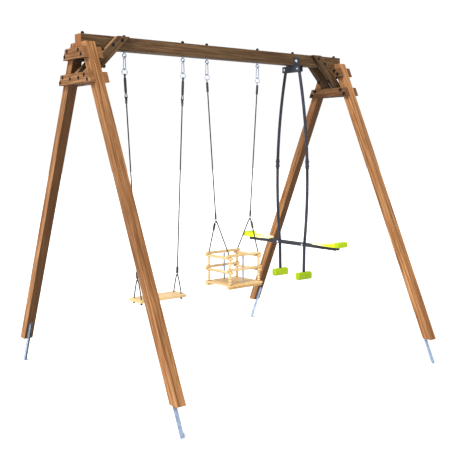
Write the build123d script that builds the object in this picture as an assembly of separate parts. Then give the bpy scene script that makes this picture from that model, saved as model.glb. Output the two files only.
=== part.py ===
"""Timber swing set: an A-frame with a board swing, a baby swing and a two-seat glider.

Millimetres, +Z up, +X along the top beam, -Y towards the front of the swings.
The origin is under the middle of the frame, at the tips of the ground anchors.
Every separate physical piece is written to parts/NODE.step.
"""

from build123d import *
import math
import os

# ---- driving dimensions -------------------------------------------------------------
GROUND = 190.0                 # height of the leg bottoms over the anchor tips
POST = 70.0                    # leg section
PLANK = 35.0                   # thickness of crosspieces and braces
LEG_X = 1210.0                 # leg centre plane
LEG_FOOT_Y = 1050.0            # leg centre line at the ground
LEAN = math.radians(24.05)     # leg lean from the vertical
LEG_TOP = GROUND + 2210.0
BEAM_HALF_X = LEG_X + POST / 2
BEAM_HALF_Y = 41.5
BEAM_LOW = GROUND + 2173.0
BEAM_HIGH = GROUND + 2265.0
UPPER_CROSS = (BEAM_LOW - 75.0, BEAM_LOW)
LOWER_CROSS = (GROUND + 1935.0, GROUND + 2005.0)
BRACE_SUM = GROUND + 3201.0    # |x| + z along a brace's centre line
BRACE_HALF = 35.0
EDGE = 3.0                     # rounding of the timber's long edges

BOLT_R = 5.0
HOLE_R = 5.2
HEAD_R = 10.5
HEAD_H = 6.5
NUT_GRIP = 12.0                # thread that stands past the last face, inside the nut
CORNER_BOLTS = ((77.0, 2153.0), (115.0, 2121.0), (150.0, 1987.0), (190.0, 1954.0))
CORNER_SHIFT = {-1: 15.0, 1: 0.0}      # the left corners' bolts sit towards the rear
BRACE_BOLT_X = 1086.0
CLAMP_T = 5.0                  # plates that hang the beam's end bolts
POCKET_R, POCKET_DEEP = 12.6, 25.0     # flats cut for heads on a sloping edge

HOOK_Z = GROUND + 2145.0       # centre of each eye
EYE_R, EYE_WIRE = 14.0, 4.5
PIVOT_Z = HOOK_Z - EYE_R       # the swings turn on the bottom of the eyes
CARABINER_WIRE = 4.0
CARABINER_TOP_R, CARABINER_LOW_R = 11.0, 15.0
CARABINER_LENGTH = 100.0
GATE_FOOT = 6.0                # gate pin above the lower bow
GATE_LENGTH = 50.0
GATE_R = 3.4
RING_R, RING_WIRE = 21.5, 3.5
SLACK = 0.3                    # air between pieces that hang in each other
ROPE_R = 5.0
ROPE_HOLE_R = 5.8
LOOP_R = 4.0

BOARD_X = -640.0
BOARD_HOOKS = (-889.0, -391.0)
BOARD_SIZE = (410.0, 160.0, 22.0)
BOARD_TOP = GROUND + 424.0
BOARD_HOLE = (175.0, 50.0)
BOARD_APEX_Z = GROUND + 566.0
SLEEVE_R = 10.0
BOARD_SLEEVE = (GROUND + 1893.0, GROUND + 1996.0)
BOARD_LOW_SLEEVE = (BOARD_APEX_Z + ROPE_R + 0.3, GROUND + 622.0)
ADJUSTER = (GROUND + 1813.0, GROUND + 1864.0)

BABY_X = 81.0
BABY_HOOKS = (-169.0, 336.0)
BABY_APEX_HALF = 173.5
BABY_APEX_Z = GROUND + 938.0
BABY_HALF = (145.0, 134.0)     # rope columns from the seat's middle, along X and Y
BABY_OVER = (165.0, 160.0)     # rail ends from the seat's middle
BABY_LOW = GROUND + 418.0
BATTEN, SLAT, RAIL = 20.0, 14.0, 20.0
RAIL_WIDE = 24.0
MID_RAIL_Z = GROUND + 536.0    # underside of the lower pair of side rails
TOP_RAIL_Z = GROUND + 646.0    # underside of the upper pair of side rails
FRONT_TRAVEL = 80.0            # slide of the front rail along the ropes
CROSS_MID_Z = MID_RAIL_Z + RAIL
CROSS_TOP_Z = TOP_RAIL_Z + RAIL
SLAT_TOP = BABY_LOW + BATTEN + SLAT
FRONT_REST = 0.2               # air under the front rail at rest
BABY_KNOT_R = 8.0
BABY_KNOT_TOP = BABY_LOW + 10.0        # the knots sit in counterbores
THIMBLE_R, THIMBLE_WIRE = 9.0, 3.0
APEX_RING_R, APEX_RING_WIRE = 11.0, 3.5

GLIDER_X = 720.0
ARM_R = 12.5
ARM_PIVOT = (77.0, GROUND + 2143.0)    # (|y|, z) along an arm: pivot, head, bow, knee, foot
ARM_HEAD = (75.1, GROUND + 2152.0)
ARM_BOW = (228.7, GROUND + 1410.0)
ARM_KNEE = (148.0, GROUND + 702.0)
ARM_FOOT = (143.0, GROUND + 472.3)
ARM_BENDS = [4200.0, 300.0]
COUPLER = (GROUND + 1325.0, GROUND + 1405.0)   # sleeve that joins an arm's two tubes
COUPLER_R = 15.0
COUPLER_BOLTS = (GROUND + 1345.0, GROUND + 1385.0)
ARM_SIDE_GAP = 0.5                     # air between an arm and what it swings between
PIVOT_HOLE_R = BOLT_R + 0.06
LOOSE_HOLE_R = BOLT_R + 3.0            # play of the rear knee, whose bolt wanders 2.5 mm
HANGER_T = 4.0
HANGER_HALF = 30.0
HANGER_TOP = GROUND + 2236.0
HANGER_SCREW, HANGER_SCREW_Z = 34.0, GROUND + 2208.0
CHANNEL_WALL = 3.0
CHANNEL_HALF_Y, CHANNEL_LOW = 105.0, GROUND + 2118.0
GLIDER_RAIL_Z = GROUND + 702.0
GLIDER_RAIL = (12.0, 26.0, 520.0)
SEAT_Y = (255.0, 578.0)
SEAT_HALF_X = 56.0
SEAT_BOLTS_Y = (371.0, 450.0, 504.0)
FOOTREST = (150.0, 50.0, 64.0)
FOOTREST_TOP = GROUND + 472.0

PARTS = {}


# ---- helpers ------------------------------------------------------------------------
def keep(name, *shapes):
    """Store one node: a single solid, or a group of separate ones."""
    solids = [solid for shape in shapes for solid in shape.solids()]
    PARTS[name] = solids[0] if len(solids) == 1 else Compound(children=solids)


def block(x, y, z):
    """A box between two corners, each argument a (low, high) pair."""
    middle = [(low + high) / 2 for low, high in (x, y, z)]
    return Pos(*middle) * Box(x[1] - x[0], y[1] - y[0], z[1] - z[0])


def rod(start, end, radius):
    """A round bar from one point to another."""
    start, end = Vector(*start), Vector(*end)
    along = end - start
    return Solid.make_cylinder(radius, along.length, Plane(start, z_dir=along))


def prism_x(outline, x0, x1):
    """A (y, z) outline, extruded from x0 to x1."""
    face = Plane.YZ.offset(x0) * Polygon(*outline, align=None)
    return extrude(face, x1 - x0, dir=(1, 0, 0))


def prism_y(outline, y0, y1):
    """An (x, z) outline, extruded from y0 to y1."""
    face = Plane.XZ.offset(-y0) * Polygon(*outline, align=None)
    return extrude(face, y1 - y0, dir=(0, 1, 0))


def turned(profile):
    """A closed (radius, height) outline turned about Z. An arc is a triple of points."""
    edges = [
        Line(*piece) if len(piece) == 2 else ThreePointArc(*piece) for piece in profile
    ]
    return revolve(Plane.XZ * make_face(edges), Axis.Z)


def placed(solid, point, direction):
    """Move a solid made about Z to a point, with its Z along a direction."""
    return Plane(Vector(*point), z_dir=Vector(*direction)).location * solid


def torus(centre, ring_r, wire_r, axis):
    return placed(Solid.make_torus(ring_r, wire_r), centre, axis)


def rounded(timber, axis, radius=EDGE):
    """Round the long edges of a straight timber, those that run along one direction."""
    long_edges = [
        edge for edge in timber.edges()
        if abs(edge.tangent_at(0.5).dot(Vector(*axis).normalized())) > 0.999
    ]
    return fillet(long_edges, radius)


def drill(timber, holes):
    """Cut every hole that comes near the timber."""
    box = timber.bounding_box()
    for hole in holes:
        other = hole.bounding_box()
        apart = any(
            low > other_high or other_low > high
            for low, high, other_low, other_high in zip(
                box.min, box.max, other.min, other.max
            )
        )
        if not apart:
            timber = timber - hole
    return timber


# ---- fasteners ----------------------------------------------------------------------
def dome(radius, low, height):
    """The outline of a ball's cap, its centre on the axis: an arc of three points."""
    ball = (radius ** 2 + height ** 2) / (2 * height)
    centre = low + height - ball
    angle = (math.atan2(low - centre, radius) + math.pi / 2) / 2
    middle = (ball * math.cos(angle), centre + ball * math.sin(angle))
    return (radius, low), middle, (0, low + height)


def button_head():
    washer_r, washer_h = HEAD_R + 1.5, 1.5
    return turned([
        ((0, 0), (washer_r, 0)),
        ((washer_r, 0), (washer_r, washer_h)),
        ((washer_r, washer_h), (HEAD_R, washer_h)),
        dome(HEAD_R, washer_h, HEAD_H - washer_h),
        ((0, HEAD_H), (0, 0)),
    ])


def cap_nut():
    """A domed nut on its washer, with a blind hole for the bolt's end."""
    cap_r, washer_h, shoulder, high = 11.4, 2.0, 10.0, 21.0
    washer = Solid.make_cylinder(12.0, washer_h)
    cap = turned([
        ((0, washer_h), (cap_r, washer_h)),
        ((cap_r, washer_h), (cap_r, shoulder)),
        dome(cap_r, shoulder, high - shoulder),
        ((0, high), (0, washer_h)),
    ])
    return washer + cap - Solid.make_cylinder(BOLT_R + 0.1, NUT_GRIP + 0.5)


def through_bolt(start, direction, grip):
    """A bolt from the face at start, its nut, and the hole that it needs."""
    start, direction = Vector(*start), Vector(*direction).normalized()
    face = start + direction * grip
    shank = rod(start, face + direction * NUT_GRIP, BOLT_R)
    shank = shank + placed(button_head(), start, direction * -1)
    hole = rod(start - direction, face + direction, HOLE_R)
    return shank, placed(cap_nut(), face, direction), hole


def screw(start, direction, length):
    """A lag screw with its head on the face at start, and the hole that it needs."""
    start, direction = Vector(*start), Vector(*direction).normalized()
    body = rod(start, start + direction * length, BOLT_R)
    body = body + placed(button_head(), start, direction * -1)
    return body, rod(start - direction, start + direction * (length + 0.5), HOLE_R)


def corner_fasteners(side, front):
    """Bolts of one corner: through the leg and its planks, and up through the brace."""
    made = []
    outer, inner = LEG_X + POST / 2 + PLANK, LEG_X - POST / 2 - PLANK
    for y, z in CORNER_BOLTS:
        start = (side * outer, front * y + CORNER_SHIFT[side], GROUND + z)
        made.append(through_bolt(start, (-side, 0, 0), outer - inner))
    lag, lag_hole = screw((side * outer, front * 59.0, GROUND + 1972.0), (-side, 0, 0), 85.0)
    made.append((lag, None, lag_hole))

    half = BRACE_HALF * math.sqrt(2)
    x, y = side * BRACE_BOLT_X, front * (BEAM_HALF_Y + PLANK / 2)
    z = BRACE_SUM - BRACE_BOLT_X
    shank, nut, hole = through_bolt((x, y, z + half), (0, 0, -1), 2 * half)
    for face, way in ((z + half, 1), (z - half, -1)):
        hole = hole + rod((x, y, face), (x, y, face + way * POCKET_DEEP), POCKET_R)
    made.append((shank, nut, hole))
    return made


def beam_fasteners(side):
    """Bolts across the beam and its braces, and the upright one at the beam's end."""
    made = []
    for x, z in ((950.0, 2238.0), (1022.0, 2202.0)):
        start = (side * x, -BEAM_HALF_Y - PLANK, GROUND + z)
        made.append(through_bolt(start, (0, 1, 0), 2 * (BEAM_HALF_Y + PLANK)))
    low = (side * LEG_X, 0, UPPER_CROSS[0] - CLAMP_T)
    made.append(through_bolt(low, (0, 0, 1), BEAM_HIGH - low[2]))
    return made


def frame_fasteners():
    """Bolts, nuts and holes of the timber frame."""
    made = []
    for side in (-1, 1):
        made += beam_fasteners(side)
        for front in (-1, 1):
            made += corner_fasteners(side, front)
    bolts = [bolt for bolt, _, _ in made]
    nuts = [nut for _, nut, _ in made if nut]
    return bolts, nuts, [hole for _, _, hole in made]


# ---- timber frame -------------------------------------------------------------------
def leg_edge(z, outside):
    """|y| of a leg's outer or inner face at a height."""
    half = POST / 2 / math.cos(LEAN)
    middle = LEG_FOOT_Y - math.tan(LEAN) * (z - GROUND)
    return middle + half if outside else middle - half


def leg(side, front):
    cut_z = GROUND + (leg_edge(GROUND, False) - BEAM_HALF_Y) / math.tan(LEAN)
    outline = [
        (leg_edge(GROUND, True), GROUND),
        (leg_edge(LEG_TOP, True), LEG_TOP),
        (BEAM_HALF_Y, LEG_TOP),
        (BEAM_HALF_Y, cut_z),
        (leg_edge(GROUND, False), GROUND),
    ]
    outline = [(front * y, z) for y, z in outline]
    timber = prism_x(outline, side * LEG_X - POST / 2, side * LEG_X + POST / 2)
    return rounded(timber, (0, -front * math.sin(LEAN), math.cos(LEAN)))


def crosspiece(side, heights, x_near):
    """A plank across two legs, its ends flush with their outer faces."""
    low, high = heights
    y_low, y_high = leg_edge(low, True), leg_edge(high, True)
    outline = [(-y_low, low), (y_low, low), (y_high, high), (-y_high, high)]
    x0, x1 = sorted((side * x_near, side * (x_near + PLANK)))
    return rounded(prism_x(outline, x0, x1), (0, 1, 0), 2.0)


def brace(side, front, crosspieces):
    """A plank at 45 degrees from the beam's face to the lower outer crosspiece."""
    rise = BRACE_HALF * math.sqrt(2)
    foot = LOWER_CROSS[0]
    outline = [
        (BRACE_SUM - rise - BEAM_HIGH, BEAM_HIGH),
        (BRACE_SUM + rise - BEAM_HIGH, BEAM_HIGH),
        (BEAM_HALF_X, BRACE_SUM + rise - BEAM_HALF_X),
        (BEAM_HALF_X, foot),
        (BRACE_SUM - rise - foot, foot),
    ]
    outline = [(side * x, z) for x, z in outline]
    y0, y1 = sorted((front * BEAM_HALF_Y, front * (BEAM_HALF_Y + PLANK)))
    plank = rounded(prism_y(outline, y0, y1), (side, 0, -1), 2.0)
    for piece in crosspieces:
        plank = plank - piece
    return plank


def ground_anchor(side, front):
    """A steel angle on the leg's inner face, cut level at its tip."""
    width, gauge, grip = 30.0, 3.0, 150.0
    reach = (GROUND + 40.0) / math.cos(LEAN)
    flat = block((-width / 2, width / 2), (0, gauge), (-reach, grip))
    fin = block((width / 2 - gauge, width / 2), (0, width), (-reach, grip))
    foot = Vector(side * LEG_X, front * leg_edge(GROUND, False), GROUND)
    up = Vector(0, -front * math.sin(LEAN), math.cos(LEAN))
    across = Vector(-front, 0, 0)
    angle = Plane(foot, x_dir=across, z_dir=up).location * (flat + fin)
    below = block((-3000, 3000), (-3000, 3000), (-500, 0))
    return angle - below


def anchor_screws(side, front):
    """Two lag screws through an anchor into its leg."""
    inward = Vector(0, -front * math.cos(LEAN), -math.sin(LEAN))
    up = Vector(0, -front * math.sin(LEAN), math.cos(LEAN))
    foot = Vector(side * LEG_X, front * leg_edge(GROUND, False), GROUND)
    return [screw(foot + up * along + inward * 3.0, inward * -1, 53.0) for along in (45.0, 115.0)]


def make_frame():
    bolts, nuts, holes = frame_fasteners()
    names = {-1: "left", 1: "right"}
    fronts = {-1: "front", 1: "rear"}
    outer_x, inner_x = LEG_X + POST / 2, LEG_X - POST / 2 - PLANK

    for hook in BOARD_HOOKS + BABY_HOOKS:
        nuts.append(placed(cap_nut(), (hook, 0, BEAM_HIGH), (0, 0, 1)))
        holes.append(rod((hook, 0, BEAM_LOW - 1), (hook, 0, BEAM_HIGH + 1), HOLE_R))
    _, hanger_nut, hanger_holes = hanger_fasteners()
    nuts.append(hanger_nut)
    holes += hanger_holes

    beam = block((-BEAM_HALF_X, BEAM_HALF_X), (-BEAM_HALF_Y, BEAM_HALF_Y), (BEAM_LOW, BEAM_HIGH))
    keep("top_beam", drill(rounded(beam, (1, 0, 0)), holes))
    for side, side_name in names.items():
        inner_pieces, anchors = [], []
        for level, heights in (("upper", UPPER_CROSS), ("lower", LOWER_CROSS)):
            outer_piece = crosspiece(side, heights, outer_x)
            inner_piece = crosspiece(side, heights, inner_x)
            inner_pieces.append(inner_piece)
            pair = [drill(piece, holes) for piece in (outer_piece, inner_piece)]
            keep(f"{level}_crosspieces_{side_name}", *pair)
        for front, front_name in fronts.items():
            where = f"{front_name}_{side_name}"
            keep(f"brace_{where}", drill(brace(side, front, inner_pieces), holes))
            anchor_pairs = anchor_screws(side, front)
            anchor_holes = [hole for _, hole in anchor_pairs]
            bolts += [body for body, _ in anchor_pairs]
            keep(f"leg_{where}", drill(leg(side, front), holes + anchor_holes))
            anchors.append(drill(ground_anchor(side, front), anchor_holes))
        keep(f"ground_anchors_{side_name}", *anchors)
    keep("frame_bolts", *bolts)
    keep("frame_cap_nuts", *nuts)
    plates = [
        drill(
            block(
                (side * LEG_X - 60, side * LEG_X + 60), (-20, 20),
                (UPPER_CROSS[0] - CLAMP_T, UPPER_CROSS[0]),
            ),
            holes,
        )
        for side in names
    ]
    keep("clamp_plates", *plates)
    keep("eye_bolts", *[eye_bolt(hook) for hook in BOARD_HOOKS + BABY_HOOKS])


# ---- hooks and rings ----------------------------------------------------------------
def eye_bolt(x):
    eye = torus((x, 0, HOOK_Z), EYE_R, EYE_WIRE, (0, 1, 0))
    collar = rod((x, 0, BEAM_LOW - 8), (x, 0, BEAM_LOW), 10.0)
    shank = rod((x, 0, HOOK_Z + EYE_R), (x, 0, BEAM_HIGH + NUT_GRIP), BOLT_R)
    return eye + collar + shank


def carabiner_plan():
    """Centre heights of the two bows, and the lean of the sides between them."""
    top = PIVOT_Z + EYE_WIRE + SLACK - (CARABINER_TOP_R - CARABINER_WIRE)
    low = top + CARABINER_TOP_R + CARABINER_WIRE - CARABINER_LENGTH
    low += CARABINER_LOW_R + CARABINER_WIRE
    lean = math.asin((CARABINER_LOW_R - CARABINER_TOP_R) / (top - low))
    return top, low, lean


def side_point(bow_r, centre_z, lean, y_sign):
    """(y, z) where a bow of the carabiner runs into its straight side."""
    return y_sign * bow_r * math.cos(lean), centre_z + bow_r * math.sin(lean)


def carabiner(x):
    """The bent hook, open on the +Y side where its gate closes it."""
    top, low, lean = carabiner_plan()
    down = Vector(0, math.sin(lean), -math.cos(lean))
    nose = Vector(x, *side_point(CARABINER_TOP_R, top, lean, 1))
    back_top = Vector(x, *side_point(CARABINER_TOP_R, top, lean, -1))
    back_low = Vector(x, *side_point(CARABINER_LOW_R, low, lean, -1))
    heel = Vector(x, *side_point(CARABINER_LOW_R, low, lean, 1))
    side_length = (heel - nose).length
    nose_end = nose + down * (side_length - GATE_FOOT - GATE_LENGTH - 0.6)
    path = Wire([
        Line(nose_end, nose).edge(),
        ThreePointArc(nose, (x, 0, top + CARABINER_TOP_R), back_top).edge(),
        Line(back_top, back_low).edge(),
        ThreePointArc(back_low, (x, 0, low - CARABINER_LOW_R), heel).edge(),
        Line(heel, heel - down * 2.0).edge(),
    ])
    return sweep(Plane(nose_end, z_dir=down * -1) * Circle(CARABINER_WIRE), path)


def gate(x):
    """The spring gate, with a round foot on its pin."""
    _, low, lean = carabiner_plan()
    up = Vector(0, -math.sin(lean), math.cos(lean))
    pin = Vector(x, *side_point(CARABINER_LOW_R, low, lean, 1)) + up * GATE_FOOT
    return rod(pin, pin + up * GATE_LENGTH, GATE_R) + Pos(*pin) * Sphere(GATE_R)


def ring_centre_z():
    _, low, _ = carabiner_plan()
    bar = low - CARABINER_LOW_R + CARABINER_WIRE + SLACK + RING_WIRE
    return bar - RING_R


def hang_ring(x):
    return torus((x, 0, ring_centre_z()), RING_R, RING_WIRE, (0, 1, 0))


def make_hooks(swing, hooks):
    keep(f"{swing}_carabiners", *[carabiner(x) for x in hooks])
    for x, name in zip(hooks, ("left", "right")):
        keep(f"{swing}_gate_{name}", gate(x))


# ---- ropes --------------------------------------------------------------------------
def rope(name, points, radii):
    """A rope along straight runs joined by tangent arcs."""
    route = FilletPolyline(*points, radius=radii) if radii else Line(*points)
    start = route @ 0
    tube = sweep(Plane(start, z_dir=route % 0) * Circle(ROPE_R), route)
    expected = math.pi * ROPE_R ** 2 * route.length
    print(f"rope {name}: length {route.length:.0f}, radii {radii}, volume ratio "
          f"{tube.volume / expected:.4f}")
    keep(name, tube)


def rope_axis(hook_x, low_x, low_z):
    """Function giving the point of a taut rope at a height."""
    high_z = ring_centre_z() - RING_R

    def at(z):
        share = (z - low_z) / (high_z - low_z)
        return (low_x + (hook_x - low_x) * share, 0, z)
    return at


def loop_over(at, z_bar, z_low, wire_r):
    """A rope loop over a bar at z_bar, both legs ending on the level z_low."""
    bend_r = wire_r + SLACK + LOOP_R
    x, _, _ = at(z_bar)
    bow = torus((x, 0, z_bar), bend_r, LOOP_R, (1, 0, 0))
    big = 60.0
    bow = bow - block((x - big, x + big), (-big, big), (z_bar - big, z_bar))
    foot_x, _, _ = at(z_low)
    legs = []
    for sign in (-1, 1):
        top = Vector(x, sign * bend_r, z_bar)
        low = Vector(foot_x, sign * (LOOP_R + 1.0), z_low - 4)
        legs.append(rod(top, low, LOOP_R) + Pos(*top) * Sphere(LOOP_R))
    loop = bow + legs[0] + legs[1]
    return loop - block((x - big, x + big), (-big, big), (z_low - big, z_low))


def knot(x, y, top_z, radius=11.0):
    """A round knot, flat where it bears on the wood above it."""
    ball = Pos(x, y, top_z - 0.8 * radius) * Sphere(radius)
    return ball & block((x - 40, x + 40), (y - 40, y + 40), (top_z - 60, top_z))


# ---- board swing --------------------------------------------------------------------
def adjuster(at):
    """A small plate with two holes, which sets the rope's length."""
    low, high = ADJUSTER
    x, _, _ = at((low + high) / 2)
    outline = [(-7, low), (7, low), (11, low + 14), (11, high - 12), (6, high), (-6, high),
               (-11, high - 12), (-11, low + 14)]
    plate = prism_x(outline, x - 3.0, x + 3.0)
    for z in (high - 13.0, low + 14.0):
        plate = plate - rod((x - 9, 0, z), (x + 9, 0, z), LOOP_R + 2.0)
    return plate


def make_board_swing():
    make_hooks("board_swing", BOARD_HOOKS)
    keep("board_swing_rings", *[hang_ring(x) for x in BOARD_HOOKS])
    length, depth, thick = BOARD_SIZE
    low = BOARD_TOP - thick
    hole_x, hole_y = BOARD_HOLE
    seat = block(
        (BOARD_X - length / 2, BOARD_X + length / 2), (-depth / 2, depth / 2), (low, BOARD_TOP)
    )
    seat = fillet(seat.edges().filter_by(Axis.Z), 12.0)
    levels = seat.edges().group_by(Axis.Z)
    seat = fillet(levels[-1] + levels[0], 4.0)
    sleeves, adjusters, loops, knots = [], [], [], []
    for side, name, hook in ((-1, "left", BOARD_HOOKS[0]), (1, "right", BOARD_HOOKS[1])):
        x = BOARD_X + side * hole_x
        at = rope_axis(hook, x, BOARD_APEX_Z)
        sleeves.append(rod(at(BOARD_SLEEVE[0]), at(BOARD_SLEEVE[1]), SLEEVE_R))
        sleeves.append(rod(at(BOARD_LOW_SLEEVE[0]), at(BOARD_LOW_SLEEVE[1]), SLEEVE_R))
        loops.append(loop_over(at, ring_centre_z() - RING_R, BOARD_SLEEVE[1] + 0.6, RING_WIRE))
        adjusters.append(adjuster(at))
        loops.append(tail_loop(at))
        rope(f"board_swing_rope_{name}", [at(ADJUSTER[0] - 0.3), at(BOARD_LOW_SLEEVE[1] + 0.1)], None)
        v_points = [
            (x, -hole_y, low), (x, -hole_y, BOARD_TOP + 4), (x, -9, BOARD_APEX_Z),
            (x, 9, BOARD_APEX_Z), (x, hole_y, BOARD_TOP + 4), (x, hole_y, low),
        ]
        rope(f"board_swing_v_rope_{name}", v_points, [20.0, 9.5, 9.5, 20.0])
        for y in (-hole_y, hole_y):
            seat = seat - rod((x, y, low - 1), (x, y, BOARD_TOP + 1), ROPE_HOLE_R + 0.4)
            knots.append(knot(x, y, low))
    keep("board_swing_sleeves", *sleeves)
    keep("board_swing_adjusters", *adjusters)
    keep("board_swing_loops", *loops)
    keep("board_swing_knots", *knots)
    keep("board_swing_seat", seat)


def tail_loop(at):
    """The open rope loop between the upper sleeve and the adjuster's top hole."""
    top, bottom = BOARD_SLEEVE[0] - 0.6, ADJUSTER[1] - 13.0
    x, _, _ = at(bottom)
    half = 9.0
    middle = bottom + half
    bow = torus((x, 0, middle), half, LOOP_R, (0, 1, 0))
    big = 60.0
    bow = bow - block((x - big, x + big), (-big, big), (middle, middle + big))
    top_x, _, _ = at(top)
    for sign in (-1, 1):
        low = Vector(x + sign * half, 0, middle)
        high = Vector(top_x + sign * (LOOP_R + 1.0), 0, top + 4)
        bow = bow + rod(low, high, LOOP_R) + Pos(*low) * Sphere(LOOP_R)
    return bow - block((x - big, x + big), (-big, big), (top, top + big))


# ---- baby swing ---------------------------------------------------------------------
def strand_points(side):
    """The V rope from the front knot, up a column, over the ring and down to the rear."""
    column, apex = BABY_X + side * BABY_HALF[0], BABY_X + side * BABY_APEX_HALF
    y = BABY_HALF[1]
    return [
        (column, -y, BABY_KNOT_TOP), (column, -y, CROSS_TOP_Z), (apex, -9, BABY_APEX_Z),
        (apex, 9, BABY_APEX_Z), (column, y, CROSS_TOP_Z), (column, y, BABY_KNOT_TOP),
    ]


def rail(along_x, middle, low_z, width=RAIL_WIDE):
    """A wooden rail; middle is its place across, low_z its underside."""
    over = BABY_OVER[0] + 3 if along_x else BABY_OVER[1]
    half = width / 2
    if along_x:
        bar = block((BABY_X - over, BABY_X + over), (middle - half, middle + half), (low_z, low_z + RAIL))
        return rounded(bar, (1, 0, 0), 6.0)
    bar = block((middle - half, middle + half), (-over, over), (low_z, low_z + RAIL))
    return rounded(bar, (0, 1, 0), 6.0)


def column_holes():
    """Straight holes for the four rope columns, with a counterbore for each knot."""
    holes = []
    for side in (-1, 1):
        for front in (-1, 1):
            x, y = BABY_X + side * BABY_HALF[0], front * BABY_HALF[1]
            holes.append(rod((x, y, BABY_LOW - 5), (x, y, CROSS_TOP_Z + 1), ROPE_HOLE_R))
            holes.append(rod((x, y, BABY_LOW - 5), (x, y, BABY_KNOT_TOP), BABY_KNOT_R + 1.0))
    return holes


def top_rail(front, spread, rest):
    """An upper rail with slots along the slanting ropes, spread outwards for its travel."""
    bar = rail(True, front * 129.0, CROSS_TOP_Z + rest, 28.0)
    for side in (-1, 1):
        foot = Vector(BABY_X + side * BABY_HALF[0], front * BABY_HALF[1], CROSS_TOP_Z)
        apex = Vector(BABY_X + side * BABY_APEX_HALF, front * 9, BABY_APEX_Z)
        along = (apex - foot).normalized()
        start, end = foot - along * 8, foot + along * 32
        out = Vector(side * spread, 0, 0)
        bar = bar - rod(start, end, ROPE_HOLE_R) - rod(start + out, end + out, ROPE_HOLE_R)
        if spread:
            bar = bar - slot_web(start, end, out)
    return bar


def slot_web(start, end, out):
    """The straight-sided middle of a slot between two parallel bores."""
    along = (end - start).normalized()
    across = along.cross(out.normalized()).normalized()
    wide = ROPE_HOLE_R
    corners = [start - across * wide, start + across * wide,
               start + out + across * wide, start + out - across * wide]
    floor = Face(Wire.make_polygon(corners, close=True))
    return extrude(floor, (end - start).length, dir=along)


def bead(height):
    """A turned wooden bead with a hole for the rope."""
    neck, belly = 8.5, 12.5
    return turned([
        ((ROPE_HOLE_R, 0), (neck, 0)),
        ((neck, 0), (belly, height / 2), (neck, height)),
        ((neck, height), (ROPE_HOLE_R, height)),
        ((ROPE_HOLE_R, height), (ROPE_HOLE_R, 0)),
    ])


def bead_columns():
    beads = []
    for low, high, count in ((SLAT_TOP, MID_RAIL_Z, 4), (CROSS_MID_Z + RAIL, TOP_RAIL_Z, 3)):
        pitch = (high - low) / count
        for side in (-1, 1):
            for front in (-1, 1):
                x, y = BABY_X + side * BABY_HALF[0], front * BABY_HALF[1]
                beads += [Pos(x, y, low + i * pitch) * bead(pitch) for i in range(count)]
    return beads


def tube(start, end, inner, outer):
    start, end = Vector(*start), Vector(*end)
    step = (end - start).normalized()
    return rod(start, end, outer) - rod(start - step, end + step, inner)


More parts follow.
